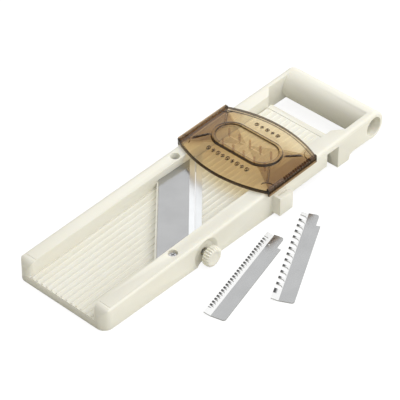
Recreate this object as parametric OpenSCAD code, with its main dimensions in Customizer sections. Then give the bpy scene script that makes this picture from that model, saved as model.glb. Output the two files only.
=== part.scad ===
// Mandoline slicer: a wedge-shaped frame with a fixed run-out plate, a diagonal blade, an
// adjustable run-in plate, a side clamp for the comb blades, a hand guard and two loose combs.
// X runs from the front edge to the grip, -Y is the knob side, +Z is up, lying flat on a table.

/* [Frame] */
// Width of the frame across both rails
body_w = 92; // [84:1:112]
// Length from the front edge to the far side of the grip
body_l = 320.8; // [300:1:390]
// Height of the rail tops at the front edge
front_h = 19.3; // [18.6:0.1:23.5]
// Height of the rail tops above the grip axis
rear_h = 29.1; // [28:0.1:35]
// Width of one rail
rail_w = 13; // [12:0.5:16]
// Thickness of the moulded walls
wall = 2.5; // [2:0.1:3]
// Rounding of the rails' outer top edges
edge_r = 3; // [1:0.5:5]
// Rounding of the two front corners, seen from above
corner_r = 8; // [4:0.5:11]
// Rounding of the rails' inner front corners, seen from above
mouth_r = 4.5; // [2:0.5:5]
// Rounding of the rails' front ends, seen from the side
nose_r = 8; // [3:0.5:9]

/* [Handle] */
// Outer radius of the grip
grip_r = 12.75; // [12:0.25:14]
// Radius of the hollow that runs through the grip
grip_bore_r = 8.6; // [6:0.1:9.5]
// Rounding of the grip's two end rims
grip_end_r = 2.6; // [1:0.2:3.4]
// Thickness of each leg beside the hand opening
leg_w = 5.5; // [4.5:0.5:8]
// Length of the hand opening in front of the grip axis
opening_l = 34; // [30:1:50]
// Height of the legs' lower edge above the table
leg_z = 6; // [3:0.5:7]

/* [Plates] */
// Height of the run-out plate at its front edge
runout_front_z = 6.9; // [6:0.1:8]
// Height of the run-out plate where it meets the blade
runout_rear_z = 12; // [11:0.1:13]
// Distance from ridge to ridge on both plates
ridge_pitch = 5.15; // [4.6:0.05:6.4]
// Height of a ridge above its plate
ridge_h = 0.7; // [0.4:0.1:1]
// Radius of a ridge's rounded top
ridge_r = 1.3; // [1.1:0.1:1.6]
// Thickness of the run-in plate
plate_t = 2.7; // [2.4:0.1:3]
// Gap between the run-in plate and what is around it
plate_gap = 0.5; // [0.4:0.1:0.8]
// Angle by which the run-in plate hangs below level as it is set here
plate_tilt = 1.2; // [0.8:0.1:1.5]
// Width of the cross bar behind the run-in plate
cross_l = 6; // [4:0.5:8]

/* [Blade] */
// Height of the blade's upper face
blade_z = 17.3; // [16.8:0.1:17.8]
// Thickness of the blade
blade_t = 1; // [0.8:0.1:1.4]
// Width of the blade, square to its edge
blade_w = 28; // [25:0.5:30]
// Width of the ground bevel at the cutting edge
bevel_w = 4.2; // [3:0.2:5]
// Angle of the blade, from straight across the frame
blade_angle = 47.6; // [40:0.2:50]
// Place of the blade's middle, from the front edge
blade_x = 125; // [118:1:135]
// Distance of the blade screws from the rails' inner sides
screw_in = 4.93; // [4:0.01:6]
// Distance of the blade screws behind the blade's middle line
screw_back = 1.8; // [0:0.2:3]
// Width of the bed under the back half of the blade
bed_w = 13; // [10:0.5:15]
// Width of the steel lip on the run-in plate
lip_w = 5; // [4:0.2:6]
// Thickness of the steel lip
lip_t = 0.8; // [0.6:0.1:1]

/* [Side knob] */
// Place of the side knob, from the front edge
knob_x = 109; // [104:1:114]
// Height of the side knob's axis
knob_z = 8.8; // [8.6:0.1:10]
// Radius of the side knob
knob_r = 8.5; // [6:0.5:8.5]
// Thickness of the side knob
knob_t = 6.4; // [4:0.2:8]
// Distance from the rail's side to the knob's outer face
knob_out = 9; // [8.6:0.2:12]
// Number of flutes around the knob
knob_flutes = 22; // [14:1:28]

/* [Thickness adjuster] */
// Place of the adjuster, from the front edge
adjuster_x = 205; // [202:1:216]
// Radius of the adjuster's thumb wheel
wheel_r = 9; // [7:0.5:11]
// Radius of the adjuster's and the clamp's threaded studs
stud_r = 2; // [1.6:0.1:2.5]

/* [Bowl notches and hooks] */
// Place of the notch's front side, from the front edge
notch_x = 250; // [244:1:254]
// Length of the notch along the rail
notch_l = 14; // [10:1:14]
// Height of the notch's ceiling
notch_h = 21.5; // [16:0.5:22]
// Length of the foot behind the notch
foot_l = 13.5; // [10:0.5:16]
// Place of the hook's front side, from the front edge
hook_x = 184.5; // [180:0.5:188]
// Length of the hook along the rail
hook_l = 15; // [10:1:16]
// Distance that the hook stands out of the rail
hook_out = 8; // [6:0.5:10]

/* [Hand guard] */
// Length of the guard's side skirts
guard_l = 56; // [50:1:64]
// Place of the guard's middle, from the front edge
guard_x = 206; // [200:1:210]
// Bulge of the guard's front and rear edges beyond its skirts
guard_bulge = 11; // [6:0.5:14]
// Thickness of the guard's clear shell
guard_t = 1.8; // [1.4:0.1:2.4]
// Clearance between the guard and the rails it slides on
guard_gap = 0.5; // [0.3:0.1:0.8]
// Length of the oval grip ring, across the frame
oval_l = 65; // [56:1:70]
// Width of the oval grip ring, along the frame
oval_w = 31; // [26:1:34]

/* [Comb blades] */
// Length of a comb blade
comb_l = 104; // [96:1:108]
// Width of a comb blade with its teeth
comb_w = 18; // [16:0.5:20]
// Thickness of a comb blade
comb_t = 0.8; // [0.6:0.1:1]
// Distance from tooth to tooth on the medium comb
medium_pitch = 3.55; // [3.2:0.05:4.2]
// Distance from tooth to tooth on the coarse comb
coarse_pitch = 6.9; // [6:0.1:8]

/* [Hidden] */
$fn = 64;

ivory = [0.93, 0.91, 0.84];
steel = [0.72, 0.73, 0.75];
amber = [0.45, 0.27, 0.1, 0.6];
brass = [0.8, 0.66, 0.35];

skirt_t = wall;                                // front wall below the run-out plate
grip_x = body_l - grip_r;
top_rise = (rear_h - front_h) / grip_x;
top_angle = atan(top_rise);
grip_z = rear_h - grip_r + 0.05;
channel = body_w / 2 - rail_w;                 // half the clear width between the rails
pocket_in = channel + wall;                    // the rails' hollow runs from here
pocket_out = body_w / 2 - wall;                // to here
opening_x = grip_x - opening_l;
cross_x = opening_x - cross_l;                 // front face of the bar behind the plate
far = body_w + 60;                             // a length that is past every side
eps = 0.01;

function top_z(x) = front_h + top_rise * x;
diag = tan(blade_angle);
half_x = blade_w / 2 / cos(blade_angle);       // half the blade's width, measured along X
function back_x(y) = blade_x - half_x + diag * y;
function edge_x(y) = blade_x + half_x + diag * y;
runout_rise = (runout_rear_z - runout_front_z) / back_x(channel);
function runout_z(x) = runout_front_z + runout_rise * x;

// The run-in plate turns on a pin near its rear end.
hinge_x = cross_x - 6;
hinge_z = 12.6;
pin_r = 1.5;
pin_l = 2 * (channel + 3) - 0.6;
plate_top = blade_z - 0.1;                     // level of the plate when it is closed
plate_y = channel - plate_gap;
lip_gap = 0.7;                                 // clear space in front of the cutting edge
lip_x = lip_gap / cos(blade_angle);
lip_len = lip_w / cos(blade_angle);

// The adjuster stands on a bar under the plate.
bar_z = 7;
bar_t = 2.8;
bar_w = 22;
bar_end = pocket_out - 0.4;
foot_t = 1.2;
dome_r = 14;
foot_gap = 0.12;
under_z = plate_top - plate_t - (hinge_x - adjuster_x) * sin(plate_tilt);
foot_top = under_z - foot_gap;
wheel_z = 2.45;
wheel_t = 3;
rest_bottom = 8;                               // lower edge of the rails' raised middle part

// Everything is drawn from the front edge and then set so that the front wall's foot holds
// the origin.
module place() translate([-skirt_t / 2, 0, 0]) children();

// A shape drawn in X and Z, given a width across the frame.
module across(w, y = 0)
    translate([0, y + w / 2, 0]) rotate([90, 0, 0]) linear_extrude(w) children();

// A block between two corners.
module block(a, b) translate(a) cube(b - a);

// The strip between two lines parallel to the blade, as a flat shape.
module diagonal(from, to, y0, y1)
    polygon([[from + diag * y0, y0], [to + diag * y0, y0],
             [to + diag * y1, y1], [from + diag * y1, y1]]);

module both_sides() {
    children();
    mirror([0, 1, 0]) children();
}

// ---- frame -----------------------------------------------------------------------------

// Side outline of the frame: flat front part, raised middle, notch, foot and leg.
module side_outline() difference() {
    polygon([[0, 0], [hook_x + 4, 0], [hook_x + 6, rest_bottom], [notch_x, rest_bottom + 1.6],
        [notch_x + notch_l, rest_bottom + 1.6], [notch_x + notch_l, 0],
        [notch_x + notch_l + foot_l, 0], [notch_x + notch_l + foot_l + 1.5, leg_z - 1.5],
        [notch_x + notch_l + foot_l + 5, leg_z], [grip_x - 4, leg_z], [grip_x, grip_z],
        [grip_x, top_z(grip_x)], [0, top_z(0)]]);
    translate([0, top_z(0) - nose_r]) difference() {
        translate([-1, 0]) square([nose_r + 1, nose_r + 1]);
        translate([nose_r, 0]) circle(nose_r);
    }
}

// Cross-section of the frame with its outer top edges rounded, its top at zero.
module section() {
    half = body_w / 2;
    translate([-half, -far]) square([body_w, far - edge_r]);
    translate([-half + edge_r, -far]) square([body_w - 2 * edge_r, far]);
    for (s = [-1, 1]) translate([s * (half - edge_r), -edge_r]) circle(edge_r);
}

// Outline of the frame seen from above, with rounded front corners.
module plan() {
    half = body_w / 2;
    translate([corner_r, -half]) square([body_l, body_w]);
    translate([0, -half + corner_r]) square([corner_r + 1, body_w - 2 * corner_r]);
    for (s = [-1, 1]) translate([corner_r, s * (half - corner_r)]) circle(corner_r);
}

// The solid wedge that the frame is cut from.
module wedge() intersection() {
    across(body_w) side_outline();
    translate([0, 0, -1]) linear_extrude(far) plan();
    translate([0, 0, front_h]) rotate([0, -top_angle, 0]) translate([-20, 0, 0])
        rotate([90, 0, 90]) linear_extrude(body_l + 60) section();
}

// Space between the rails and between the legs, seen from above.
module between_rails() {
    leg_in = body_w / 2 - leg_w;
    translate([-1, -channel]) square([cross_x + cross_l + 1, 2 * channel]);
    polygon([[cross_x + 1, -channel], [opening_x + 4, -leg_in], [grip_x + 1, -leg_in],
        [grip_x + 1, leg_in], [opening_x + 4, leg_in], [cross_x + 1, channel]]);
}

// What is cut to round the rails' inner front corners, above the run-out plate.
module mouths() translate([0, 0, runout_front_z]) linear_extrude(far) both_sides()
    difference() {
        translate([-1, channel - eps]) square([mouth_r + 1, mouth_r + eps]);
        translate([mouth_r, channel + mouth_r]) circle(mouth_r);
    }

// One hollow in a rail's underside, roofed by the rail's top.
module rail_pocket(x0, x1, roof)
    across(pocket_out - pocket_in, (pocket_in + pocket_out) / 2)
        polygon([[x0, -1], [x1, -1], [x1, roof(x1)], [x0, roof(x0)]]);

// Ridges along X on a plate whose top passes through (x0, z0) and rises by `angle`.
module ridges(x0, z0, angle, length, half_width) {
    count = floor((2 * half_width - 2 * ridge_r) / ridge_pitch);
    for (i = [0 : count])
        translate([x0, (i - count / 2) * ridge_pitch, z0]) rotate([0, -angle, 0])
            translate([0, 0, ridge_h - ridge_r]) rotate([0, 90, 0])
                cylinder(r = ridge_r, h = length);
}

// The fixed plate that carries the food away from the blade, and its front wall.
module runout_plate() {
    end_x = back_x(channel);
    plate = [[0, runout_front_z - wall - 0.6], [0.4, runout_front_z], [end_x, runout_z(end_x)],
        [end_x, runout_z(end_x) - wall], [skirt_t, runout_z(skirt_t) - wall]];
    intersection() {
        union() {
            across(2 * channel + 2 * eps) polygon(plate);
            ridges(1.2, runout_z(1.2), atan(runout_rise), body_l / 2, channel);
        }
        translate([0, 0, -1]) linear_extrude(far)
            diagonal(-body_l, back_x(0), -channel - eps, channel + eps);
    }
    block([0, -channel - eps, 0], [skirt_t, channel + eps, runout_front_z - 1]);
}

// The bed that the back half of the blade lies on.
module blade_bed() translate([0, 0, runout_z(blade_x - half_x) - 4])
    linear_extrude(blade_z - blade_t - runout_z(blade_x - half_x) + 4)
        diagonal(back_x(0) - wall, back_x(0) + bed_w / cos(blade_angle), -channel - eps,
            channel + eps);

// What is cut from the rails for the blade: a slot for its ends and the throat below its edge.
module blade_room() {
    fit = 0.3;
    slot = 0.1;
    end_y = pocket_out - 0.1;
    translate([0, 0, blade_z - blade_t - slot]) linear_extrude(blade_t + 2 * slot)
        diagonal(back_x(0) - fit, edge_x(0) + fit, -end_y, end_y);
    translate([0, 0, -1]) linear_extrude(blade_z + 1 + slot)
        diagonal(back_x(0) + bed_w / cos(blade_angle), edge_x(0) + fit, -end_y, end_y);
}

// Places of the two blade screws. They stay in the rails, however wide the frame is.
screw_span = 2 * (channel + screw_in) / cos(blade_angle);
module at_blade_screws() for (s = [-1, 1])
    translate([blade_x - screw_back / cos(blade_angle) + s * screw_span / 2 * sin(blade_angle),
        s * screw_span / 2 * cos(blade_angle), 0]) children();

screw_r = 1.5;
recess_r = 3.9;
head_r = 3.4;
head_t = 1.9;
floor_z = blade_z + 0.1 + 0.8;                   // where a blade screw's head rests
nut_t = 2.4;

module blade_screw_holes() at_blade_screws() {
    translate([0, 0, floor_z]) cylinder(r = recess_r, h = far);
    translate([0, 0, -1]) cylinder(r = screw_r + 0.15, h = far);
    translate([0, 0, -1]) cylinder(r = 4.4, h = blade_z - blade_t + 1);
}

// Boss inside a rail that a bridge screw is driven into.
boss_r = 3.4;
boss_y = (pocket_in + pocket_out) / 2;
tap_r = 1.2;
module bridge_bosses() both_sides() translate([adjuster_x, boss_y, bar_z + bar_t])
    cylinder(r = boss_r, h = top_z(adjuster_x) - bar_z - bar_t - 1);

// The holes those screws are driven into, cut from the boss and from the rail around it.
module bridge_taps() both_sides() translate([adjuster_x, boss_y, bar_z + bar_t - 1])
    cylinder(r = tap_r, h = 9);

// Hook beside the rail, with an upward slot behind its outer plate.
module hook() {
    y0 = body_w / 2;
    top = top_z(hook_x) - 5.5;
    low = 3;
    difference() {
        across(hook_out + 1, y0 + hook_out / 2 - 0.5) difference() {
            polygon([[hook_x, low], [hook_x + hook_l, low], [hook_x + hook_l, top - 1],
                [hook_x, top]]);
        }
        block([hook_x + 2.5, y0 + 2, low + 9], [hook_x + hook_l + 1, y0 + 4, far]);
    }
}

// Shallow round dish that the side knob sits in.
dish_r = knob_r + 4.4;
dish_depth = 2.6;
insert_deep = 2;                               // the insert lies this far below the dish
module knob_dish() translate([knob_x, -body_w / 2 - eps, knob_z]) rotate([-90, 0, 0]) {
    cylinder(r1 = dish_r, r2 = knob_r + 0.8, h = dish_depth);
    cylinder(r = stud_r + 0.15, h = rail_w + 1);
    cylinder(r = 3.5, h = dish_depth + insert_deep + 5.6);
}

// The grip, a tube across the frame with its end rims rounded.
module grip_bar() translate([grip_x, 0, grip_z]) rotate([90, 0, 0]) rotate_extrude() {
    half = body_w / 2;
    w = grip_r - grip_bore_r;
    translate([grip_bore_r, -half]) square([w - grip_end_r, body_w]);
    translate([grip_bore_r, -half + grip_end_r]) square([w, body_w - 2 * grip_end_r]);
    intersection() {
        translate([grip_bore_r, -half]) square([w, body_w]);
        for (s = [-1, 1]) translate([grip_r - grip_end_r, s * (half - grip_end_r)])
            circle(grip_end_r);
    }
}

module body() color(ivory) place() difference() {
    union() {
        difference() {
            wedge();
            translate([0, 0, -1]) linear_extrude(far) between_rails();
            mouths();
            // near rail: hollows in front of the blade and behind the knob
            mirror([0, 1, 0]) {
                rail_pocket(9, back_x(-pocket_in) - 10, function(x) top_z(x) - wall);
                rail_pocket(knob_x + dish_r + 2, notch_x - wall,
                    function(x) top_z(x) - wall);
            }
            // far rail: hollows in front of the blade and behind it
            rail_pocket(9, back_x(pocket_in) - 10, function(x) top_z(x) - wall);
            rail_pocket(edge_x(pocket_out) + 2, notch_x - wall, function(x) top_z(x) - wall);
            // bowl notch in the outer part of each rail
            both_sides() block([notch_x, channel + 3, -1],
                [notch_x + notch_l, body_w, notch_h]);
            // ends of the bridge bar
            both_sides() block([adjuster_x - bar_w / 2 - 0.3, channel - 1, -1],
                [adjuster_x + bar_w / 2 + 0.3, pocket_out, bar_z + bar_t]);
            translate([grip_x, 0, grip_z]) rotate([90, 0, 0])
                cylinder(r = grip_bore_r, h = far, center = true);
        }
        runout_plate();
        blade_bed();
        across(2 * channel + 2 * eps) polygon([[cross_x, 8], [cross_x + cross_l, 8],
            [cross_x + cross_l, plate_top - 0.6], [cross_x + cross_l - 1, plate_top],
            [cross_x, plate_top]]);
        bridge_bosses();
        both_sides() hook();
        grip_bar();
    }
    blade_room();
    blade_screw_holes();
    bridge_taps();
    knob_dish();
    // hinge pin
    translate([hinge_x, 0, hinge_z]) rotate([90, 0, 0])
        cylinder(r = pin_r + 0.02, h = pin_l + 0.4, center = true);
}

// ---- run-in plate ----------------------------------------------------------------------

// Everything on the plate is drawn level and then turned about the hinge.
module tilted() place() translate([hinge_x, 0, hinge_z]) rotate([0, -plate_tilt, 0])
    translate([-hinge_x, 0, -hinge_z]) children();

plate_end = cross_x - plate_gap;
hinge_boss_r = 3.4;

module run_in_plate() color(ivory) tilted() difference() {
    union() {
        translate([0, 0, plate_top - plate_t]) linear_extrude(plate_t)
            polygon([[edge_x(-plate_y) + lip_x, -plate_y], [plate_end, -plate_y],
                [plate_end, plate_y], [edge_x(plate_y) + lip_x, plate_y]]);
        intersection() {
            ridges(edge_x(-plate_y), plate_top, 0, plate_end - edge_x(-plate_y), channel);
            linear_extrude(far) polygon([
                [edge_x(-plate_y) + lip_x + lip_len, -plate_y], [plate_end - 1.2, -plate_y],
                [plate_end - 1.2, plate_y], [edge_x(plate_y) + lip_x + lip_len, plate_y]]);
        }
        translate([hinge_x, 0, hinge_z]) rotate([90, 0, 0])
            cylinder(r = hinge_boss_r, h = 2 * plate_y, center = true);
        // two stiffening webs under the plate
        both_sides() block([adjuster_x + bar_w / 2 + 2, 17, plate_top - plate_t - 2.5],
            [hinge_x, 19, plate_top - plate_t + 1]);
    }
    // rebate for the steel lip
    translate([0, 0, plate_top - lip_t]) linear_extrude(lip_t + 2)
        diagonal(edge_x(0) + lip_x - 1, edge_x(0) + lip_x + lip_len, -far, far);
    translate([hinge_x, 0, hinge_z]) rotate([90, 0, 0])
        cylinder(r = pin_r + 0.05, h = far, center = true);
}

module plate_lip() color(steel) tilted() translate([0, 0, plate_top - lip_t])
    linear_extrude(lip_t) diagonal(edge_x(0) + lip_x, edge_x(0) + lip_x + lip_len,
        -plate_y, plate_y);

module hinge_pin() color(steel) place() translate([hinge_x, 0, hinge_z]) rotate([90, 0, 0])
    cylinder(r = pin_r, h = pin_l, center = true);

// ---- blade -----------------------------------------------------------------------------

blade_end = pocket_out - 0.5;

// The blade is laid out along its own length and then turned onto the diagonal.
module main_blade() color(steel) place() difference() {
    intersection() {
        translate([blade_x, 0, blade_z]) rotate([0, 0, 90 - blade_angle]) rotate([90, 0, 90])
            linear_extrude(2 * body_w, center = true) polygon([[blade_w / 2, -blade_t],
                [blade_w / 2, 0], [-blade_w / 2 + bevel_w, 0],
                [-blade_w / 2, -blade_t + 0.06], [-blade_w / 2, -blade_t]]);
        block([0, -blade_end, 0], [body_l, blade_end, far]);
    }
    at_blade_screws() cylinder(r = screw_r + 0.15, h = far);
}

module cross_recess(r, depth) for (a = [0, 90]) rotate([0, 0, a])
    translate([-r, -r / 5, -depth]) cube([2 * r, 2 * r / 5, depth + 1]);

module blade_screws() color(steel) place() at_blade_screws() {
    difference() {
        translate([0, 0, floor_z]) cylinder(r1 = head_r, r2 = head_r - 0.7, h = head_t);
        translate([0, 0, floor_z + head_t]) cross_recess(2, 1.1);
    }
    translate([0, 0, blade_z - blade_t - nut_t - 1]) cylinder(r = screw_r,
        h = floor_z - blade_z + blade_t + nut_t + 1 + eps);
}

module blade_nuts() color(brass) place() at_blade_screws()
    translate([0, 0, blade_z - blade_t - nut_t - 0.02]) difference() {
        cylinder(r = 3.2, h = nut_t, $fn = 6);
        translate([0, 0, -1]) cylinder(r = screw_r + 0.02, h = far);
    }

// ---- side clamp ------------------------------------------------------------------------

face_y = -body_w / 2 - knob_out;

module fluted(r, h, flutes, depth) difference() {
    cylinder(r = r, h = h);
    for (i = [0 : flutes - 1]) rotate([0, 0, i * 360 / flutes])
        translate([r + depth * 0.4, 0, -1]) cylinder(r = depth, h = h + 2, $fn = 24);
}

module side_knob() color(ivory) place() translate([knob_x, face_y, knob_z])
    rotate([-90, 0, 0]) difference() {
        union() {
            fluted(knob_r, knob_t, knob_flutes, 0.8);
            cylinder(r = 4.6, h = knob_t + 2);
        }
        translate([0, 0, knob_t - 3.4]) cylinder(r = stud_r + 0.05, h = far);
    }

stud_tip_y = -channel - 1.6;
module side_stud() color(steel) place() translate([knob_x, face_y + knob_t - 3.3, knob_z])
    rotate([-90, 0, 0]) cylinder(r = stud_r, h = stud_tip_y - face_y - knob_t + 3.3);

module side_insert() color(brass) place()
    translate([knob_x, -body_w / 2 + dish_depth + insert_deep, knob_z]) rotate([-90, 0, 0])
        difference() {
            cylinder(r = 3.48, h = 5.5);
            translate([0, 0, -1]) cylinder(r = stud_r + 0.05, h = far);
        }

// ---- thickness adjuster ----------------------------------------------------------------

insert_r = 3.6;
module bridge_bar() color(ivory) place() translate([adjuster_x, 0, bar_z]) difference() {
    union() {
        translate([-bar_w / 2, -bar_end, 0]) cube([bar_w, 2 * bar_end, bar_t - 0.05]);
        cylinder(r = insert_r + 2.2, h = bar_t - 0.05);
    }
    translate([0, 0, -1]) cylinder(r = insert_r, h = far);
    both_sides() translate([0, boss_y, -1]) cylinder(r = screw_r + 0.1, h = far);
    // two long windows that lighten the bar
    both_sides() translate([-bar_w / 2 + 4, 10, -1]) cube([bar_w - 8, 18, far]);
}

module bridge_screws() color(steel) place() both_sides()
    translate([adjuster_x, boss_y, bar_z]) {
        difference() {
            translate([0, 0, -1.6]) cylinder(r1 = 2.4, r2 = 3, h = 1.58);
            translate([0, 0, -1.6]) mirror([0, 0, 1]) cross_recess(1.7, 0.9);
        }
        translate([0, 0, -0.1]) cylinder(r = tap_r - 0.02, h = bar_t + 7);
    }

module adjuster_insert() color(brass) place() translate([adjuster_x, 0, bar_z])
    difference() {
        cylinder(r = insert_r - 0.02, h = bar_t - 0.05);
        translate([0, 0, -1]) cylinder(r = stud_r + 0.05, h = far);
    }

module adjuster_wheel() color(ivory) place() translate([adjuster_x, 0, wheel_z])
    difference() {
        union() {
            fluted(wheel_r, wheel_t, 26, 0.7);
            cylinder(r = 4, h = wheel_t);
        }
        translate([0, 0, 0.8]) cylinder(r = stud_r + 0.05, h = far);
    }

module adjuster_stud() color(steel) place() translate([adjuster_x, 0, wheel_z + 0.9])
    cylinder(r = stud_r, h = foot_top - foot_t - wheel_z - 0.9 + 0.49);

// A domed cap on the stud that the plate rests on.
module adjuster_foot() color(ivory) place() translate([adjuster_x, 0, foot_top - foot_t])
    difference() {
        rotate_extrude($fn = 160) intersection() {
            square([4.2, foot_t]);
            translate([0, foot_t - dome_r]) circle(dome_r, $fn = 400);
        }
        translate([0, 0, -1]) cylinder(r = stud_r + 0.02, h = 1.5);
    }

// ---- hand guard ------------------------------------------------------------------------

guard_y = body_w / 2 + guard_gap + guard_t;    // outer face of a skirt
skirt_drop = 2.5;                              // how far a skirt hangs below the rail tops
skirt_rise = 5;                                // how far it stands above them
roof_z = 3.4;                                  // top of the shell's eaves above the rails
ridge_z = 6.2;                                 // top of the shell below the oval ring
oval_z = 8.6;                                  // top of the oval ring
dish_t = 1.3;                                  // depth of the dish inside the ring
rim_w = 2.6;                                   // width of the ring's rim

// The guard is drawn over level rails with its middle at zero, then set on the slope.
module on_rails() place() translate([0, 0, front_h]) rotate([0, -top_angle, 0])
    translate([guard_x / cos(top_angle), 0, 0]) children();

// Outline of the guard from above: straight skirts and bowed front and rear edges.
module guard_outline(inset) {
    half = guard_l / 2 - inset;
    side = guard_y - inset;
    bow_r = (side * side + guard_bulge * guard_bulge) / (2 * guard_bulge);
    intersection() {
        translate([-guard_l, -side]) square([2 * guard_l, 2 * side]);
        translate([half + guard_bulge - bow_r, 0]) circle(bow_r, $fn = 180);
        translate([-half - guard_bulge + bow_r, 0]) circle(bow_r, $fn = 180);
    }
}

module stadium(length, width) {
    square([width, length - width], center = true);
    for (s = [-1, 1]) translate([0, s * (length - width) / 2]) circle(width / 2);
}

// Tent-like shell between the bowed outline and the oval ring.
module guard_tent(inset, drop) hull() {
    translate([0, 0, -skirt_drop]) linear_extrude(skirt_drop + roof_z - drop)
        guard_outline(inset);
    translate([0, 0, roof_z - 1]) linear_extrude(ridge_z - roof_z + 1 - drop)
        stadium(oval_l - 2 * inset, oval_w - 2 * inset, $fn = 32);
}

module each_end() for (s = [-1, 1]) scale([s, 1, 1]) children();

// Rows of small raised bars on the front and rear slopes.
module guard_marks() intersection() {
    guard_tent(-0.35, -0.35);
    union() {
        for (i = [-4 : 4]) translate([-guard_l / 2 + 6.5, i * 5 + 1, 0])
            translate([-1.6, -0.5, roof_z - 1]) cube([3.2, i % 2 == 0 ? 1 : 2.4, 5]);
        for (i = [-2 : 2]) translate([guard_l / 2 - 3.5, i * 5.5 + 1, 0])
            translate([-1.6, -0.5, roof_z - 1]) cube([3.2, i % 2 == 0 ? 2.4 : 1, 5]);
    }
}

module guard() color(amber) on_rails() difference() {
    union() {
        guard_tent(0, 0);
        guard_marks();
        linear_extrude(oval_z) stadium(oval_l, oval_w);
        // upright flanges over the skirts, with finger serrations on the knob side
        both_sides() translate([-guard_l / 2, guard_y - guard_t - 1.2, 0])
            cube([guard_l, guard_t + 1.2, skirt_rise]);
        // ribs from the ends of the oval to the four corners
        both_sides() each_end() translate([oval_w / 2 - 6, oval_l / 2 - 4, roof_z - 1])
            rotate([0, 0, 32]) cube([22, 1, ridge_z - roof_z + 0.6]);
    }
    for (i = [-4 : 5]) translate([i * 2.5 + 2.25, -guard_y - 1, skirt_rise + 0.3])
        rotate([-90, 0, 0]) cylinder(r = 0.9, h = guard_t + 3, $fn = 24);
    guard_tent(guard_t, guard_t);
    // hollow below the raised oval
    translate([0, 0, -skirt_drop - 1]) linear_extrude(oval_z - dish_t - guard_t + skirt_drop + 1)
        stadium(oval_l - 2 * guard_t, oval_w - 2 * guard_t);
    // dished top inside the oval's rim
    translate([0, 0, oval_z - dish_t]) linear_extrude(far)
        stadium(oval_l - 2 * rim_w, oval_w - 2 * rim_w);
    // room for the rails under the eaves
    translate([-guard_l, -body_w / 2 - guard_gap, -skirt_drop - 1])
        cube([2 * guard_l, body_w + 2 * guard_gap, skirt_drop + 1 + 0.3]);
    // the bowed ends stop level with the rail tops
    for (s = [-1, 1]) translate([s * 1.5 * guard_l - guard_l, -far, -skirt_drop - 1])
        cube([2 * guard_l, 2 * far, skirt_drop + 1 + 0.3]);
}

// Steel spikes that hold the food, set in the roof below the oval.
spike_r = 1;
spike_l = 9;
spike_z = oval_z - dish_t - guard_t;
module guard_spikes() color(steel) on_rails()
    for (i = [-2 : 2], j = [-1, 1]) translate([j * 6.5, i * 11 + j * 2.5, 0]) {
        translate([0, 0, spike_z - spike_l + 2]) cylinder(r = spike_r, h = spike_l - 2.2);
        translate([0, 0, spike_z - spike_l]) cylinder(r1 = 0.15, r2 = spike_r, h = 2.01);
    }

// ---- comb blades -----------------------------------------------------------------------

tab_l = 13;
tab_step = 3.5;
strip_w = 6;                                   // width of the toothed strip
strip_angle = 14;                              // how far the strip is bent up
back_w = comb_w - strip_w;
end_len = 7;                                   // plain end of the strip beside the tab

// Outline of the flat part: rounded corners, and a step in the back edge at the tab.
module comb_back() {
    r = 2.2;
    translate([r, 0]) square([comb_l - tab_l - r, back_w]);
    translate([0, r]) square([r + 1, back_w - r]);
    translate([r, r]) circle(r);
    translate([comb_l - tab_l - 1, tab_step]) square([tab_l + 1 - r, back_w - tab_step]);
    translate([comb_l - r - 1, tab_step + r]) square([r + 1, back_w - tab_step - r]);
    translate([comb_l - r, tab_step + r]) circle(r);
}

// The slots between the teeth, each with a rounded end, measured from the bend line.
module comb_slots(pitch, teeth, slot, depth) {
    for (i = [0 : teeth])
        translate([comb_l - end_len - i * pitch, strip_w - depth + slot / 2]) {
            translate([-slot / 2, 0]) square([slot, depth]);
            circle(slot / 2);
        }
}

// A comb blade lying flat, its back on the X axis and its tab at the far end.
module comb(pitch, teeth, slot, depth) {
    linear_extrude(comb_t) comb_back();
    translate([0, back_w, 0]) rotate([strip_angle, 0, 0]) linear_extrude(comb_t)
        difference() {
            translate([0, -0.3]) square([comb_l - 1, strip_w + 0.3]);
            comb_slots(pitch, teeth, slot, depth);
        }
}

module medium_comb() color(steel) place() translate([69.2, -101.1, 0])
    rotate([0, 0, 14.3]) difference() {
        comb(medium_pitch, 25, medium_pitch * 0.55, 3.8);
        translate([comb_l - tab_l + 1, back_w - 1.6, -1]) cylinder(r = 0.9, h = 5);
    }

module coarse_comb() color(steel) place() translate([118.2, -125.8, 0])
    rotate([0, 0, 27.9]) comb(coarse_pitch, 12, coarse_pitch * 0.68, strip_w - 0.5);

body();
run_in_plate();
plate_lip();
hinge_pin();
main_blade();
blade_screws();
blade_nuts();
side_knob();
side_stud();
side_insert();
bridge_bar();
bridge_screws();
adjuster_wheel();
adjuster_stud();
adjuster_insert();
adjuster_foot();
guard();
guard_spikes();
medium_comb();
coarse_comb();
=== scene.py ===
# %% [markdown]
# # A mandoline slicer, dressed for its picture
# The sizes of every part were settled beforehand in a CAD model. This lesson loads that
# model as a fixed frame, sets up a camera and a soft studio, and then goes over the real
# object's pieces one by one. A piece keeps its CAD mesh where that mesh is already right,
# and gets a hand-built mesh where moulding, grinding or rounding has to show.

# %% Load the frame
import math

import bmesh
import bpy
import numpy as np
from mathutils import Matrix, Vector


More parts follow.
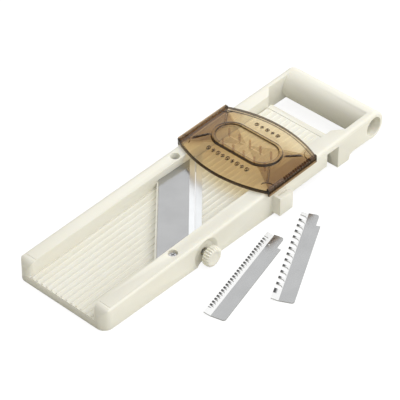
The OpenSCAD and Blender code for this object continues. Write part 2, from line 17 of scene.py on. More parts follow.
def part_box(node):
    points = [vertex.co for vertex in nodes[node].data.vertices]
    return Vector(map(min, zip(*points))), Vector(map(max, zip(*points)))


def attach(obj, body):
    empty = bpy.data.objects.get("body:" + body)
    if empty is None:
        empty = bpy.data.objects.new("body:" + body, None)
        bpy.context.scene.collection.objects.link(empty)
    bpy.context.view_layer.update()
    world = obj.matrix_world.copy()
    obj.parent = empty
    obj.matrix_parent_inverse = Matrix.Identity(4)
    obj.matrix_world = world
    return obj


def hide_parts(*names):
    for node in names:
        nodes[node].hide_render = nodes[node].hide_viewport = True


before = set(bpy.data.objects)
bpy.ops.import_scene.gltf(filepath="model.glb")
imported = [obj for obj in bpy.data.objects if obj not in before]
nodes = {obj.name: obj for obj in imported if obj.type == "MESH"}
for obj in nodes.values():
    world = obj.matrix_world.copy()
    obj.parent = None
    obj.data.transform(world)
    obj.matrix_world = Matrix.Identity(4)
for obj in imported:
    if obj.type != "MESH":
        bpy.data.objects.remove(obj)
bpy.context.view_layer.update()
MM = 0.001

# %% [markdown]
# ## The camera
# The slicer lies flat and is seen from its front left corner, from well above. A long lens
# a good way off keeps the rails nearly parallel. The camera is placed with two angles and a
# distance around a point on the table, which is easier to reason about than three
# coordinates and three rotations.

# %% Place the camera
# The frame's origin is under the middle of the front wall, half a wall behind the front edge.
FRONT_EDGE = -1.25 * MM
AIM = Vector((FRONT_EDGE + 159.37 * MM, 6.98 * MM, 0))
AZIMUTH, ELEVATION, ROLL = (math.radians(a) for a in (-47.393, 39.744, 0.227))
DISTANCE = 1.6723
LENS, SENSOR = 192.06, 36.0


def make_camera():
    back = Vector((math.sin(AZIMUTH) * math.cos(ELEVATION),
                   -math.cos(AZIMUTH) * math.cos(ELEVATION), math.sin(ELEVATION)))
    turn = back.to_track_quat("Z", "Y").to_matrix() @ Matrix.Rotation(ROLL, 3, "Z")
    data = bpy.data.cameras.new("camera")
    data.lens, data.sensor_width = LENS, SENSOR
    data.clip_start, data.clip_end = 0.05, 50
    camera = bpy.data.objects.new("camera", data)
    bpy.context.scene.collection.objects.link(camera)
    camera.matrix_world = Matrix.Translation(AIM + back * DISTANCE) @ turn.to_4x4()
    bpy.context.scene.camera = camera
    return camera


camera = make_camera()
bpy.context.scene.view_settings.view_transform = "Standard"
print("camera at, mm:", [round(v / MM) for v in camera.location])

# %% [markdown]
# ## The studio
# A pale floor runs out of sight on every side. Most of the light comes from a bright sky
# that is strongest over the grip end and the knob side, so that the faces turned to the
# front edge fall into shade and the ground bevel of the blade flashes white, helped by a
# painted reflection in the bevel's light colour. A sky that only depends on direction
# needs no lamps around the object, and is soft everywhere. Its dim side is a little warm,
# as light is that has bounced off the walls of a room.

# %% Make the sky and its shading
SKY_TOWARDS = Vector((0.72, -0.42, 0.58)).normalized()
SKY_DIM, SKY_BRIGHT = 0.1, 1.3
SKY_WARM, SKY_COOL = (1.0, 0.95, 0.8, 1), (0.985, 0.99, 1.0, 1)


def make_sky():
    world = bpy.data.worlds.new("studio_sky")
    bpy.context.scene.world = world
    world.use_nodes = True
    tree = world.node_tree
    tree.nodes.clear()
    where = tree.nodes.new("ShaderNodeTexCoord")
    dot = tree.nodes.new("ShaderNodeVectorMath")
    dot.operation = "DOT_PRODUCT"
    dot.inputs[1].default_value = SKY_TOWARDS
    ramp = tree.nodes.new("ShaderNodeMapRange")
    ramp.interpolation_type = "SMOOTHSTEP"
    for name, value in (("From Min", -0.7), ("From Max", 0.75),
                        ("To Min", SKY_DIM), ("To Max", SKY_BRIGHT)):
        ramp.inputs[name].default_value = value
    tint = tree.nodes.new("ShaderNodeMix")
    tint.data_type = "RGBA"
    tint.inputs["A"].default_value, tint.inputs["B"].default_value = SKY_WARM, SKY_COOL
    share = tree.nodes.new("ShaderNodeMapRange")
    for name, value in (("From Min", -0.6), ("From Max", 0.4)):
        share.inputs[name].default_value = value
    background = tree.nodes.new("ShaderNodeBackground")
    out = tree.nodes.new("ShaderNodeOutputWorld")
    tree.links.new(where.outputs["Generated"], dot.inputs[0])
    tree.links.new(dot.outputs["Value"], ramp.inputs["Value"])
    tree.links.new(dot.outputs["Value"], share.inputs["Value"])
    tree.links.new(share.outputs["Result"], tint.inputs["Factor"])
    tree.links.new(tint.outputs["Result"], background.inputs["Color"])
    tree.links.new(ramp.outputs["Result"], background.inputs["Strength"])
    tree.links.new(background.outputs["Background"], out.inputs["Surface"])


make_sky()
print("sky from", SKY_DIM, "to", SKY_BRIGHT)

# %% [markdown]
# ### The lamp
# One big soft lamp high on the knob side adds gentle shadows and a broad shine on the
# steel. An area lamp is the nearest thing to a photographer's softbox.

# %% Hang the lamp
LAMP_PLACE, LAMP_SIZE, LAMP_WATTS = (0.95, -1.0, 1.5), 1.2, 9


def hang_lamp():
    data = bpy.data.lights.new("key_lamp", "AREA")
    data.shape, data.size, data.energy = "SQUARE", LAMP_SIZE, LAMP_WATTS
    data.color = (1.0, 0.985, 0.96)
    lamp = bpy.data.objects.new("key_lamp", data)
    bpy.context.scene.collection.objects.link(lamp)
    lamp.location = LAMP_PLACE
    lamp.rotation_euler = (AIM - lamp.location).to_track_quat("-Z", "Y").to_euler()


hang_lamp()
print("lamp of", LAMP_WATTS, "W,", LAMP_SIZE, "m wide")

# %% [markdown]
# ### The floor
# The floor is a pale lit table. What is seen of it is mostly its own glow, which keeps the
# shadows on it thin. To every ray of light that does not come from the eye it is a plain
# matt sheet, a little darker than it looks, so that the walls facing the front stay in
# shade. This choice of ray is made on the floor alone, never on the object.

# %% Lay the floor
FLOOR_BOUNCE, FLOOR_PALE, FLOOR_GLOW = (0.73, 0.72, 0.67), 0.22, 0.85
FLOOR_HALF, FLOOR_DROP = 6, 0.05 * MM


def make_floor():
    mesh = bpy.data.meshes.new("floor")
    bm = bmesh.new()
    bmesh.ops.create_grid(bm, x_segments=4, y_segments=4, size=FLOOR_HALF)
    bm.to_mesh(mesh)
    bm.free()
    floor = bpy.data.objects.new("floor", mesh)
    bpy.context.scene.collection.objects.link(floor)
    floor.location.z = -FLOOR_DROP
    material = bpy.data.materials.new("floor_paper")
    material.use_nodes = True
    tree = material.node_tree
    tree.nodes.clear()
    dull, pale = (tree.nodes.new("ShaderNodeBsdfDiffuse") for _ in range(2))
    dull.inputs["Color"].default_value = (*FLOOR_BOUNCE, 1)
    pale.inputs["Color"].default_value = (FLOOR_PALE, FLOOR_PALE, FLOOR_PALE, 1)
    glow = tree.nodes.new("ShaderNodeEmission")
    glow.inputs["Strength"].default_value = FLOOR_GLOW
    lit = tree.nodes.new("ShaderNodeAddShader")
    chosen = tree.nodes.new("ShaderNodeMixShader")
    rays = tree.nodes.new("ShaderNodeLightPath")
    out = tree.nodes.new("ShaderNodeOutputMaterial")
    tree.links.new(pale.outputs["BSDF"], lit.inputs[0])
    tree.links.new(glow.outputs["Emission"], lit.inputs[1])
    tree.links.new(rays.outputs["Is Camera Ray"], chosen.inputs["Fac"])
    tree.links.new(dull.outputs["BSDF"], chosen.inputs[1])
    tree.links.new(lit.outputs["Shader"], chosen.inputs[2])
    tree.links.new(chosen.outputs["Shader"], out.inputs["Surface"])
    mesh.materials.append(material)


make_floor()
print("floor", 2 * FLOOR_HALF, "m wide")

# %% [markdown]
# ## A small kit for materials
# Every finish below is a node tree. A few helpers keep them short: they start a material,
# add a node, make noise stretched along chosen axes, move a value into a new range, turn a
# height into bump, and blend two colours. Object coordinates are the CAD frame itself, in
# metres, so a grain size is a true size.

# %% Node helpers
def new_material(name):
    material = bpy.data.materials.new(name)
    material.use_nodes = True
    tree = material.node_tree
    shader = tree.nodes["Principled BSDF"]
    where = tree.nodes.new("ShaderNodeTexCoord")
    return material, tree, shader, where.outputs["Object"]


def add(tree, kind, **values):
    """A node with some of its input values set by name."""
    node = tree.nodes.new("ShaderNode" + kind)
    for name, value in values.items():
        node.inputs[name.replace("_", " ")].default_value = value
    return node


def grain(tree, where, size_mm, stretch=(1, 1, 1), turn=0.0, detail=3.0):
    """Noise with spots of the given size; a stretch below 1 draws it out along that axis."""
    place = add(tree, "Mapping")
    place.inputs["Rotation"].default_value = (0, 0, turn)
    place.inputs["Scale"].default_value = [s / (size_mm * MM) for s in stretch]
    noise = add(tree, "TexNoise", Scale=1.0, Detail=detail)
    tree.links.new(where, place.inputs["Vector"])
    tree.links.new(place.outputs["Vector"], noise.inputs["Vector"])
    return noise.outputs["Fac"]


def spread(tree, value, low, high, from_low=0.3, from_high=0.7):
    """Moves a 0 to 1 value into the range low to high."""
    node = add(tree, "MapRange", From_Min=from_low, From_Max=from_high,
               To_Min=low, To_Max=high)
    tree.links.new(value, node.inputs["Value"])
    return node.outputs["Result"]


def bump(tree, height, depth_mm, strength=1.0, onto=None):
    node = add(tree, "Bump", Strength=strength, Distance=depth_mm * MM)
    tree.links.new(height, node.inputs["Height"])
    if onto is not None:
        tree.links.new(onto, node.inputs["Normal"])
    return node.outputs["Normal"]


def blend_colours(tree, share, first, second):
    node = tree.nodes.new("ShaderNodeMix")
    node.data_type = "RGBA"
    node.inputs["A"].default_value = (*first, 1)
    node.inputs["B"].default_value = (*second, 1)
    tree.links.new(share, node.inputs["Factor"])
    return node.outputs["Result"]


print("helpers ready")

# %% [markdown]
# ## Ivory plastic
# The frame, the run-in plate and the knobs are moulded in one ivory plastic. A moulded
# surface is never quite even: the colour drifts a little, a fine grain from the mould
# breaks the gloss, and light goes a short way in before it comes back, which softens
# the shadows. That is a low subsurface share on a satin surface, with fine bump.

# %% Make the ivory plastic
IVORY = (0.80, 0.785, 0.70)
IVORY_WARM = (0.775, 0.75, 0.645)


def make_ivory(name, first=IVORY, second=IVORY_WARM, gloss=0.36):
    material, tree, shader, where = new_material(name)
    drift = spread(tree, grain(tree, where, 42), 0.0, 0.6)
    speck = spread(tree, grain(tree, where, 0.9, detail=4), 0.0, 0.25)
    both = tree.nodes.new("ShaderNodeMath")
    both.operation = "ADD"
    tree.links.new(drift, both.inputs[0])
    tree.links.new(speck, both.inputs[1])
    tree.links.new(blend_colours(tree, both.outputs[0], first, second),
                   shader.inputs["Base Color"])
    tree.links.new(spread(tree, grain(tree, where, 7), gloss - 0.06, gloss + 0.1),
                   shader.inputs["Roughness"])
    fine = bump(tree, grain(tree, where, 0.35, detail=2), 0.012, 0.6)
    tree.links.new(bump(tree, grain(tree, where, 16, detail=1), 0.05, 0.5, fine),
                   shader.inputs["Normal"])
    shader.inputs["Subsurface Weight"].default_value = 0.18
    shader.inputs["Subsurface Radius"].default_value = (1.0, 0.85, 0.55)
    shader.inputs["Subsurface Scale"].default_value = 1.6 * MM
    shader.inputs["IOR"].default_value = 1.49
    return material


ivory = make_ivory("ivory_plastic")
print("made", ivory.name)

# %% [markdown]
# ## Steel
# The blades are rolled and polished sheet, which keeps faint lines along its length. The
# lines are bump and roughness noise stretched along the blade. The same recipe, with
# finer lines square to the edge, makes a ground bevel; its much lighter colour than the
# sheet is a painted reflection of the bevel's white flash. The screws and studs are plain
# satin steel, and the threaded inserts and nuts are brass.

# %% Make the steels
def make_steel(name, colour, gloss, line_turn, line_mm=0.25, depth=0.004):
    material, tree, shader, where = new_material(name)
    lines = grain(tree, where, line_mm, (0.02, 1, 1), line_turn, detail=2)
    smear = grain(tree, where, 18, detail=2)
    darker = tuple(c * 0.93 for c in colour)
    tree.links.new(blend_colours(tree, spread(tree, smear, 0, 1), colour, darker),
                   shader.inputs["Base Color"])
    tree.links.new(spread(tree, lines, gloss - 0.05, gloss + 0.06),
                   shader.inputs["Roughness"])
    tree.links.new(bump(tree, lines, depth, 0.5), shader.inputs["Normal"])
    shader.inputs["Metallic"].default_value = 1.0
    return material


BLADE_TURN = math.radians(90 - 47.6)
SHEET = (0.43, 0.432, 0.43)
blade_steel = make_steel("blade_steel", SHEET, 0.16, -BLADE_TURN)
# The bevel's light colour is a painted reflection of its white flash; its finer grain and
# roughness are real.
bevel_painted_reflection_steel = make_steel("ground_bevel_painted_reflection_steel", (0.8, 0.815, 0.82), 0.36,
                         math.radians(90) - BLADE_TURN, 0.15)
screw_steel = make_steel("screw_steel", (0.56, 0.56, 0.57), 0.28, 0.0, 0.6)
brass = make_steel("turned_brass", (0.75, 0.58, 0.3), 0.25, 0.0, 0.5)
print("steels:", [m.name for m in (blade_steel, bevel_painted_reflection_steel, screw_steel, brass)])

# %% [markdown]
# ## Clear brown plastic
# The guard is cast in a clear brown plastic. Seen through it the plate below turns to
# caramel, and where several walls lie behind each other it goes almost black. Bending the
# light as real glass does would need caustics to bring daylight under the guard, so the
# wall is made of a tinted see-through surface instead, with a gloss that grows towards
# grazing angles. Light pays the tint at every surface it passes, as in the real plastic.

# %% Make the clear brown plastic
def make_amber(name, tint, edge_tint, body_colour, gloss):
    material, tree, shader, where = new_material(name)
    cloud = spread(tree, grain(tree, where, 14), 0, 1)
    darker = tuple(c * f for c, f in zip(tint, (0.97, 0.95, 0.92)))
    # Light crosses more plastic where a wall stands up, so steep faces take the edge tint.
    shape = tree.nodes.new("ShaderNodeNewGeometry")
    parts = tree.nodes.new("ShaderNodeSeparateXYZ")
    tree.links.new(shape.outputs["Normal"], parts.inputs["Vector"])
    level = tree.nodes.new("ShaderNodeMath")
    level.operation = "ABSOLUTE"
    tree.links.new(parts.outputs["Z"], level.inputs[0])
    steep = add(tree, "MapRange", From_Min=0.95, From_Max=0.6)
    tree.links.new(level.outputs[0], steep.inputs["Value"])
    colour = tree.nodes.new("ShaderNodeMix")
    colour.data_type = "RGBA"
    tree.links.new(steep.outputs["Result"], colour.inputs["Factor"])
    tree.links.new(blend_colours(tree, cloud, tint, darker), colour.inputs["A"])
    colour.inputs["B"].default_value = (*edge_tint, 1)
    clear = tree.nodes.new("ShaderNodeBsdfTransparent")
    tree.links.new(colour.outputs["Result"], clear.inputs["Color"])
    brown = tuple(c * 0.7 for c in body_colour)
    tree.links.new(blend_colours(tree, cloud, body_colour, brown),
                   shader.inputs["Base Color"])
    tree.links.new(spread(tree, grain(tree, where, 3), gloss, gloss + 0.05),
                   shader.inputs["Roughness"])
    tree.links.new(bump(tree, grain(tree, where, 9, detail=1), 0.08, 0.5),
                   shader.inputs["Normal"])
    shader.inputs["IOR"].default_value = 1.49
    body = add(tree, "MixShader", Fac=0.07)
    tree.links.new(clear.outputs["BSDF"], body.inputs[1])
    tree.links.new(shader.outputs["BSDF"], body.inputs[2])
    rim = add(tree, "LayerWeight", Blend=0.5)
    sharper = tree.nodes.new("ShaderNodeMath")
    sharper.operation = "POWER"
    sharper.inputs[1].default_value = 3.5
    tree.links.new(rim.outputs["Facing"], sharper.inputs[0])
    share = add(tree, "MapRange", To_Min=0.035, To_Max=0.75)
    tree.links.new(sharper.outputs[0], share.inputs["Value"])
    gloss_coat = add(tree, "BsdfAnisotropic", Roughness=gloss)
    gloss_coat.inputs["Color"].default_value = (1, 0.97, 0.92, 1)
    coated = tree.nodes.new("ShaderNodeMixShader")
    tree.links.new(share.outputs["Result"], coated.inputs["Fac"])
    tree.links.new(body.outputs["Shader"], coated.inputs[1])
    tree.links.new(gloss_coat.outputs["BSDF"], coated.inputs[2])
    tree.links.new(coated.outputs["Shader"],
                   tree.nodes["Material Output"].inputs["Surface"])
    return material


EDGE_TINT = (0.09, 0.062, 0.036)
DEEP_BROWN = (0.1, 0.055, 0.022)
amber = make_amber("clear_brown_plastic", (0.985, 0.912, 0.755), EDGE_TINT, DEEP_BROWN, 0.05)
# The side panels and the oval's rim take this darker tint as painted shade.
painted_shade_amber = make_amber("clear_brown_side_panel_painted_shade", (0.77, 0.65, 0.44), EDGE_TINT, DEEP_BROWN,
                         0.05)
flange_amber = make_amber("clear_brown_flange", (0.94, 0.85, 0.68), (0.52, 0.38, 0.22),
                          DEEP_BROWN, 0.05)
spike_amber = make_amber("clear_brown_spike", (0.93, 0.84, 0.7), (0.86, 0.74, 0.56),
                         DEEP_BROWN, 0.08)
print("made", [m.name for m in (amber, painted_shade_amber, flange_amber, spike_amber)])

# %% [markdown]
# ## Dressing the CAD meshes
# The screws, studs, inserts and blades keep their CAD meshes, because cut metal is as crisp
# as CAD is. Each node gets one finish here, also those that a moulded piece replaces later.

# %% Dress the CAD nodes
def dress(node, material):
    slots = nodes[node].data.materials
    slots.clear()
    slots.append(material)
    for polygon in nodes[node].data.polygons:
        polygon.material_index = 0


for name in ("body", "run_in_plate", "bridge_bar", "side_knob", "adjuster_wheel",
             "adjuster_foot"):
    dress(name, ivory)
for name in ("main_blade", "plate_lip", "medium_comb", "coarse_comb"):
    dress(name, blade_steel)
for name in ("hinge_pin", "blade_screws", "side_stud", "bridge_screws", "adjuster_stud",
             "guard_spikes"):
    dress(name, screw_steel)
for name in ("blade_nuts", "side_insert", "adjuster_insert"):
    dress(name, brass)
dress("guard", amber)
print("dressed", len(nodes), "nodes")

# %% [markdown]
# ## Softened mouldings
# No moulded edge is sharp: the tool that makes the mould leaves a small radius, and light
# catches on it. The CAD solids have ideal edges, so a copy of each moulding gets its edges
# rounded here and stands in for the solid. Flat faces are first joined back into single
# faces, because a bevel needs clean edges to follow.

# %% Round the edges of the mouldings
EDGE_ANGLE, SMOOTH_ANGLE = math.radians(32), math.radians(48)


def soften(node, body, radius_mm):
    mesh = nodes[node].data.copy()
    mesh.name = node + "_moulding"
    bm = bmesh.new()
    bm.from_mesh(mesh)
    bmesh.ops.remove_doubles(bm, verts=bm.verts, dist=0.002 * MM)
    bmesh.ops.dissolve_limit(bm, angle_limit=math.radians(0.4), verts=bm.verts,
                             edges=bm.edges)
    bm.to_mesh(mesh)
    bm.free()
    piece = bpy.data.objects.new(node + "_moulding", mesh)
    bpy.context.scene.collection.objects.link(piece)
    bevel = piece.modifiers.new("edge_radius", "BEVEL")
    bevel.width, bevel.segments = radius_mm * MM, 2
    bevel.limit_method, bevel.angle_limit = "ANGLE", EDGE_ANGLE
    bpy.context.view_layer.update()
    solid = bpy.data.meshes.new_from_object(
        piece.evaluated_get(bpy.context.evaluated_depsgraph_get()))
    piece.modifiers.clear()
    piece.data = solid
    solid.shade_smooth()
    solid.set_sharp_from_angle(angle=SMOOTH_ANGLE)
    solid.materials.clear()
    solid.materials.append(ivory)
    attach(piece, body)
    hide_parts(node)
    return piece


for node, body, radius in (("body", "frame", 0.45), ("run_in_plate", "plate", 0.3),
                           ("bridge_bar", "frame", 0.4), ("adjuster_wheel", "wheel", 0.25)):
    piece = soften(node, body, radius)
    print(piece.name, "faces:", len(piece.data.polygons))

# %% [markdown]
# ## The ground edge of the blade
# Only the narrow strip along the cutting edge is ground, so it gets the ground finish, with
# its light colour as painted reflection, and the rest of the blade keeps the sheet finish.
# The strip is found by the lean of its faces. The steel lip in front of it is polished the
# same way and gets the same painted reflection.

# %% Finish the blade and the lip
def grind(node, least_lean, most_lean, material):
    data = nodes[node].data
    data.materials.append(material)
    found = 0
    for face in data.polygons:
        if least_lean < face.normal.z < most_lean:
            face.material_index = len(data.materials) - 1
            found += 1
    return found


print("bevel faces:", grind("main_blade", 0.9, 0.995, bevel_painted_reflection_steel))
dress("plate_lip", bevel_painted_reflection_steel)

# %% [markdown]
# ## The combs' toothed strips
# Each comb's toothed strip is bent up a little, and it gets a lighter colour than the flat
# back, a painted highlight. The tips of the teeth are ground, and their near-black colour
# is a painted dark reflection. The darkening follows the height of the metal, which rises
# towards the tips, and stops at the plain ends.

# %% Paint the toothed strips' highlight and dark tips
COMB_LENGTH, TEETH_START, TEETH_END = 104 * MM, 6 * MM, 15 * MM
TIP_DARKENING_FROM, TIP_DARKENING_TO = 1.45 * MM, 1.85 * MM


def make_painted_strip_steel(name, start, turn_deg):
    """start is the comb's front corner and turn_deg the way it lies; the strip gets a painted
    highlight and the tips a painted dark reflection.
    """
    material, tree, shader, where = new_material(name)
    along = (math.cos(math.radians(turn_deg)), math.sin(math.radians(turn_deg)), 0)
    dot = tree.nodes.new("ShaderNodeVectorMath")
    dot.operation = "DOT_PRODUCT"
    dot.inputs[1].default_value = along
    tree.links.new(where, dot.inputs[0])
    first = start.dot(Vector(along)) + TEETH_START
    last = first + COMB_LENGTH - TEETH_END
    entering = add(tree, "MapRange", From_Min=first, From_Max=first + MM)
    leaving = add(tree, "MapRange", From_Min=last + MM, From_Max=last)
    parts = tree.nodes.new("ShaderNodeSeparateXYZ")
    tree.links.new(where, parts.inputs["Vector"])
    tip_darkening = add(tree, "MapRange", From_Min=TIP_DARKENING_FROM, From_Max=TIP_DARKENING_TO)
    tree.links.new(parts.outputs["Z"], tip_darkening.inputs["Value"])
    share = tip_darkening.outputs["Result"]
    for gate in (entering, leaving):
        tree.links.new(dot.outputs["Value"], gate.inputs["Value"])
        times = tree.nodes.new("ShaderNodeMath")
        times.operation = "MULTIPLY"
        tree.links.new(share, times.inputs[0])
        tree.links.new(gate.outputs["Result"], times.inputs[1])
        share = times.outputs[0]
    # The strip's light colour is a painted highlight and the near-black tips a painted dark
    # reflection.
    tree.links.new(blend_colours(tree, share, (0.72, 0.72, 0.71), (0.07, 0.07, 0.07)),
                   shader.inputs["Base Color"])
    tree.links.new(spread(tree, grain(tree, where, 0.5), 0.28, 0.4),
                   shader.inputs["Roughness"])
    shader.inputs["Metallic"].default_value = 1.0
    return material


for name, start, turn_deg in (("medium_comb", (69.2, -101.1, 0), 14.3),
                              ("coarse_comb", (118.2, -125.8, 0), 27.9)):
    origin = Vector(start) * MM + Vector((FRONT_EDGE, 0, 0))
    strip = make_painted_strip_steel(name + "_teeth_painted_highlight_steel", origin, turn_deg)
    print(name, "strip faces:", grind(name, 0.9, 0.99, strip))

# %% [markdown]
# ## Skins made of loops
# The knob and the guard are smooth mouldings whose outline changes from level to level. A
# stack of loops with the same number of points describes such a shape well: neighbouring
# loops join into clean four-sided faces, and every rounding is just one more loop.

# %% Join loops into a skin
def skin(bm, loops, place, cap_start=False, cap_end=False, finish=lambda i: 0):
    """Joins loops of points with faces; finish(i) is the material of the i-th strip."""
    rows = [[bm.verts.new(place(*p)) for p in loop] for loop in loops]
    count = len(rows[0])
    for low, high in zip(rows, rows[1:]):
        for i in range(count):
            j = (i + 1) % count
            face = bm.faces.new((low[i], low[j], high[j], high[i]))
            face.material_index = finish(i)
    if cap_start:
        bm.faces.new(rows[0][::-1])
    if cap_end:
        bm.faces.new(rows[-1])


print("skin() ready")

# %% [markdown]
# ## The side knob
# The knob is a small fluted drum with a softly domed face. Its outline is a circle whose
# radius dips at each flute, and the same outline is repeated from the back rim to the
# middle of the face while it shrinks and the dips fade out.

# %% Mould the side knob
FLUTES, FLUTE_DEPTH, FLUTE_POINTS = 22, 1.0, 8
KNOB_R = 8.4
# Each row is a distance from the outer face, a radius, and how much of the flutes shows.
KNOB_PROFILE = [(8.35, 3.0, 0), (8.35, 4.5, 0), (6.5, 4.6, 0), (6.4, 7.6, 0.4),
                (6.1, KNOB_R - 0.15, 1), (5.7, KNOB_R, 1), (1.8, KNOB_R, 1),
                (1.0, KNOB_R - 0.3, 0.9), (0.5, KNOB_R - 0.9, 0.6),
                (0.2, KNOB_R - 1.9, 0.2), (0.05, 5.0, 0), (0.3, 4.6, 0),
                (0.35, 2.5, 0), (0.35, 0.6, 0)]


def on_knob_axis(along, across, up):
    """From distances along and around the knob's axis to the frame; 0 is its outer face."""
    low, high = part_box("side_knob")
    middle = (low + high) / 2
    return Vector((middle.x + across * MM, low.y + along * MM, middle.z + up * MM))


def fluted_loop(along, radius, share):
    points = []
    for a in np.linspace(0, 2 * math.pi, FLUTES * FLUTE_POINTS, endpoint=False):
        here = radius - FLUTE_DEPTH * share * (0.5 + 0.5 * math.cos(a * FLUTES))
        points.append((along, here * math.cos(a), here * math.sin(a)))
    return points


def mould_knob():
    bm = bmesh.new()
    skin(bm, [fluted_loop(*row) for row in KNOB_PROFILE], on_knob_axis, cap_start=True,
         cap_end=True)
    bmesh.ops.recalc_face_normals(bm, faces=bm.faces)
    mesh = bpy.data.meshes.new("side_knob_cap")
    bm.to_mesh(mesh)
    bm.free()
    knob = bpy.data.objects.new("side_knob_cap", mesh)
    bpy.context.scene.collection.objects.link(knob)
    mesh.materials.append(ivory)
    mesh.shade_smooth()
    mesh.set_sharp_from_angle(angle=math.radians(50))
    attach(knob, "clamp_knob")
    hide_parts("side_knob")
    return knob


print("knob faces:", len(mould_knob().data.polygons))

# %% [markdown]
# ## The hand guard
# The guard is one casting: a tent of clear plastic with bowed front and rear edges, an
# upright flange on each side that rides on a rail, and a raised oval that the fingers
# hold. Its loops run along the same rays from the middle, from the bowed edge in to the
# oval. All of it is drawn over level rails and then set on the rails' slope.

# %% Set out the guard's outline
GUARD_HALF, GUARD_SIDE, BULGE = 28.0, 48.3, 11.0
BOW_POINTS, SIDE_POINTS = 60, 30
OVAL_HALF_L, OVAL_R = 32.5, 15.5
WALL = 1.8
FRONT_TOP, RAIL_RISE = 19.3, 9.8 / 308.05
SLOPE = math.atan(RAIL_RISE)
GUARD_X = 206.0


def bowed_edge(inset, count):
    """Points from one side to the other along the front edge, as (along, across)."""
    side = GUARD_SIDE - inset
    radius = (side ** 2 + BULGE ** 2) / (2 * BULGE)
    middle = -(GUARD_HALF - inset + BULGE) + radius
    reach = math.asin(side / radius)
    return [(middle - radius * math.cos(a), radius * math.sin(a))
            for a in np.linspace(-reach, reach, count)]


def outline(inset):
    front = bowed_edge(inset, BOW_POINTS)
    rear = [(-x, -y) for x, y in front]
    join = lambda a, b: [tuple(np.array(a) + (np.array(b) - np.array(a)) * t)
                         for t in np.linspace(0, 1, SIDE_POINTS + 2)[1:-1]]
    return front + join(front[-1], rear[0]) + rear + join(rear[-1], front[0])


def oval(offset, rays):
    """Where each ray from the middle leaves an oval that is larger by the offset."""
    radius, half = OVAL_R + offset, OVAL_HALF_L - OVAL_R
    points = []
    for x, y in rays:
        unit = np.array([x, y]) / math.hypot(x, y)
        far = radius / max(abs(unit[0]), 1e-6)
        if abs(unit[1]) * far > half:
            along = abs(unit[1]) * half
            far = along + math.sqrt(along ** 2 - half ** 2 + radius ** 2)
        points.append(tuple(unit * far))
    return points


RAYS = outline(0)
def on_rails(x, y, z):
    """A point drawn over level rails, set on the slope, in metres."""
    along = GUARD_X / math.cos(SLOPE) + x
    return Vector((FRONT_EDGE + (along * math.cos(SLOPE) - z * math.sin(SLOPE)) * MM,
                   y * MM, (FRONT_TOP + along * math.sin(SLOPE) + z * math.cos(SLOPE)) * MM))


def mix_loops(a, b, t, z):
    return [(p[0] + (q[0] - p[0]) * t, p[1] + (q[1] - p[1]) * t, z) for p, q in zip(a, b)]


def at(points, z):
    return [(x, y, z) for x, y in points]


print("points in a loop:", len(RAYS))

# %% [markdown]
# ### The shell
# The shell is one skin that starts at the middle of the lining, runs out to the eaves,
# turns over the edge and climbs the tent to the oval. The oval's rim and its dish are two
# more skins on the same rays. Finishes go strip by strip: the strips that run down to the
# flanges, and the oval's rim, take a darker tint, which is painted shade.

# %% Cast the shell
ROOF, RIDGE, RING_TOP, DISH, EAVES = 3.4, 6.2, 8.6, 7.3, 0.3
RIM = 2.9
THIN, PAINTED_SHADE_PANEL, FLANGE = 0, 1, 2


def tent_loops():
    edge, foot = outline(0.9), oval(0.6, RAYS)
    loops = [at(outline(0.0), EAVES), at(outline(0.0), ROOF - 0.9),
             at(outline(0.15), ROOF - 0.35), at(outline(0.45), ROOF - 0.06), at(edge, ROOF)]
    for t in np.linspace(0, 1, 9)[1:]:
        loops.append(mix_loops(edge, foot, t, ROOF + (RIDGE - ROOF) * t))
    return loops


def ring_loops():
    """The raised rim of the oval, from the tent over its rounded top to the dish."""
    loops = [at(oval(0.6, RAYS), RIDGE)]
    for offset, z in ((0.3, RIDGE + 0.15), (0.0, RIDGE + 0.6), (-0.15, RING_TOP - 0.7),
                      (-0.4, RING_TOP - 0.22), (-0.9, RING_TOP), (0.5 - RIM, RING_TOP),
                      (0.05 - RIM, RING_TOP - 0.22), (-0.15 - RIM, RING_TOP - 0.6),
                      (-0.3 - RIM, DISH + 0.3), (-0.55 - RIM, DISH + 0.05),
                      (-1.0 - RIM, DISH)):
        loops.append(at(oval(offset, RAYS), z))
    return loops


def dish_loops():
    return [at(oval(offset, RAYS), DISH) for offset in (-1.0 - RIM, -7, -11, -14.8)]


def lining_loops():
    edge, foot = outline(WALL), oval(-WALL + 0.5, RAYS)
    loops = [at(edge, EAVES), at(edge, ROOF - WALL - 0.3)]
    for t in np.linspace(0, 1, 6)[1:]:
        loops.append(mix_loops(edge, foot, t, ROOF - WALL + (RIDGE - ROOF) * t))
    for offset, z in ((-WALL, RIDGE - WALL + 0.3), (-WALL - 0.2, DISH - WALL - 0.2),
                      (-WALL - 0.7, DISH - WALL), (-7, DISH - WALL), (-14.8, DISH - WALL)):
        loops.append(at(oval(offset, RAYS), z))
    return loops


def tent_finish(i):
    """The strips that run down to a flange get a darker tint than the front and rear slopes:
    painted shade.
    """
    panel = BOW_POINTS - 1 <= i % (BOW_POINTS + SIDE_POINTS) < BOW_POINTS + SIDE_POINTS
    return PAINTED_SHADE_PANEL if panel else THIN


def cast_shell(bm):
    skin(bm, lining_loops()[::-1] + tent_loops(), on_rails, cap_start=True,
         finish=tent_finish)
    # The oval's rim takes the darker tint too, as painted shade.
    skin(bm, ring_loops(), on_rails, finish=lambda i: PAINTED_SHADE_PANEL)
    skin(bm, dish_loops(), on_rails, cap_end=True)
    bmesh.ops.remove_doubles(bm, verts=bm.verts, dist=0.001 * MM)


print("shell loops:", len(lining_loops() + tent_loops() + ring_loops() + dish_loops()))

# %% [markdown]
# ### Flanges and low relief
# Each side ends in an upright flange that rides on its rail. The one on the knob side has
# finger serrations. Four ribs run from the oval to the corners, with an arc across each
# corner, and two rows of plain raised marks stand on the slopes. All of these are short
# skins of their own that sink a little into the shell, which is simpler than cutting them
# into its loops, and the eye can't tell.

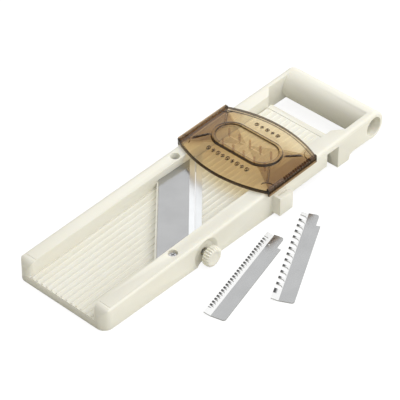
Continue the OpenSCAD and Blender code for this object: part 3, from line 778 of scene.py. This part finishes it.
# %% Add flanges, grip ribs and raised marks
SERRATIONS, SERRATION_PITCH, SERRATION_START, SERRATION_DEPTH = 12, 2.7, -11.0, 1.7
FLANGE_TOP, FLANGE_W, FLANGE_LOOPS = 5.0, 3.0, 225


def flange_top(x, side):
    """Height of a flange's top edge; the knob side has finger serrations."""
    turns = (x - SERRATION_START) / SERRATION_PITCH
    if side > 0 or not 0 < turns < SERRATIONS:
        return FLANGE_TOP
    return FLANGE_TOP - SERRATION_DEPTH * (1 - math.cos(2 * math.pi * turns)) / 2


def add_flange(bm, side):
    loops = []
    for x in np.linspace(-GUARD_HALF, GUARD_HALF, FLANGE_LOOPS):
        shrink = min(1.0, 0.5 + (GUARD_HALF - abs(x)) / 1.2)
        top = flange_top(x, side) - 0.5 * (1 - shrink)
        outer, inner, lip = GUARD_SIDE, GUARD_SIDE - WALL, GUARD_SIDE - FLANGE_W
        profile = [(outer, -2.1), (outer, top - 0.9), (outer - 0.2, top - 0.35),
                   (outer - 0.7, top), (lip + 0.7, top), (lip + 0.2, top - 0.35),
                   (lip, top - 0.9), (lip, 0.4), (inner, 0.4), (inner, -2.1),
                   (inner + 0.4, -2.5), (outer - 0.4, -2.5)]
        loops.append([(x, side * y, z) for y, z in profile])
    skin(bm, loops, on_rails, cap_start=True, cap_end=True, finish=lambda i: FLANGE)


def tent_height(x, y):
    """Height of the shell's top at a point between the oval and the edge."""
    reach = math.hypot(*oval(0.6, [(x, y)])[0])
    here = math.atan2(y, x)
    nearest = min(RAYS, key=lambda ray: abs(math.remainder(
        math.atan2(ray[1], ray[0]) - here, 2 * math.pi)))
    edge = math.hypot(*nearest) - 0.9
    t = (edge - math.hypot(x, y)) / (edge - reach)
    return ROOF + (RIDGE - ROOF) * min(max(t, 0), 1)


RIDGE_SECTION = ((-1, 0), (-0.9, 0.6), (-0.5, 1), (0.5, 1), (0.9, 0.6), (1, 0))


def add_ridge(bm, path, width, height, sink=0.4):
    """A low rounded ridge along a path on the tent."""
    loops = []
    for i, (x, y) in enumerate(path):
        ahead, behind = path[min(i + 1, len(path) - 1)], path[max(i - 1, 0)]
        along = np.array(ahead) - np.array(behind)
        across = np.array([-along[1], along[0]]) / np.hypot(*along) * width / 2
        z = tent_height(x, y)
        taper = 0.3 if i in (0, len(path) - 1) else 1.0
        rise = (height + sink) * taper
        loops.append([(x + across[0] * a, y + across[1] * a, z + rise * b - sink)
                      for a, b in RIDGE_SECTION])
    skin(bm, loops, on_rails, cap_start=True, cap_end=True)


def add_marks(bm):
    """Rows of rings and diamonds, each with a short bar through it."""
    for middle, count, pitch in ((-GUARD_HALF + 6.5, 9, 5.0), (GUARD_HALF - 2.5, 5, 5.5)):
        for i in range(count):
            y = (i - (count - 1) / 2) * pitch + 1
            corners = 4 if i % 2 else 12
            ring = [(middle + 1.9 * math.cos(a), y + 1.4 * math.sin(a))
                    for a in np.linspace(0, 2 * math.pi, corners + 1)]
            add_ridge(bm, ring, 0.75, 0.4, 0.25)
            add_ridge(bm, [(middle - 1, y), (middle, y), (middle + 1, y)], 0.7, 0.4, 0.25)


def cast_guard():
    bm = bmesh.new()
    cast_shell(bm)
    for side in (-1, 1):
        add_flange(bm, side)
        for end in (-1, 1):
            start = np.array([end * 8.5, side * 31.0])
            stop = np.array([end * (GUARD_HALF - 2.5), side * (GUARD_SIDE - 5)])
            path = [tuple(start + (stop - start) * t) for t in np.linspace(0, 0.72, 7)]
            add_ridge(bm, path, 1.7, 0.9)
    for end, side in ((1, 1), (-1, -1), (1, -1), (-1, 1)):
        centre = np.array([end * GUARD_HALF, side * (GUARD_SIDE - 3)])
        arc = [tuple(centre + 7.5 * np.array([-end * math.cos(a), -side * math.sin(a)]))
               for a in np.linspace(-0.5, 1.35, 10)]
        add_ridge(bm, arc, 0.8, 0.35, 0.3)
    add_marks(bm)
    bmesh.ops.recalc_face_normals(bm, faces=bm.faces)
    mesh = bpy.data.meshes.new("guard_casting")
    bm.to_mesh(mesh)
    bm.free()
    guard = bpy.data.objects.new("guard_casting", mesh)
    bpy.context.scene.collection.objects.link(guard)
    mesh.materials.append(amber)
    mesh.materials.append(painted_shade_amber)
    mesh.materials.append(flange_amber)
    mesh.shade_smooth()
    mesh.set_sharp_from_angle(angle=math.radians(40))
    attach(guard, "hand_guard")
    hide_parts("guard")
    return guard


guard = cast_guard()
dress("guard_spikes", spike_amber)
print("guard faces:", len(guard.data.polygons))
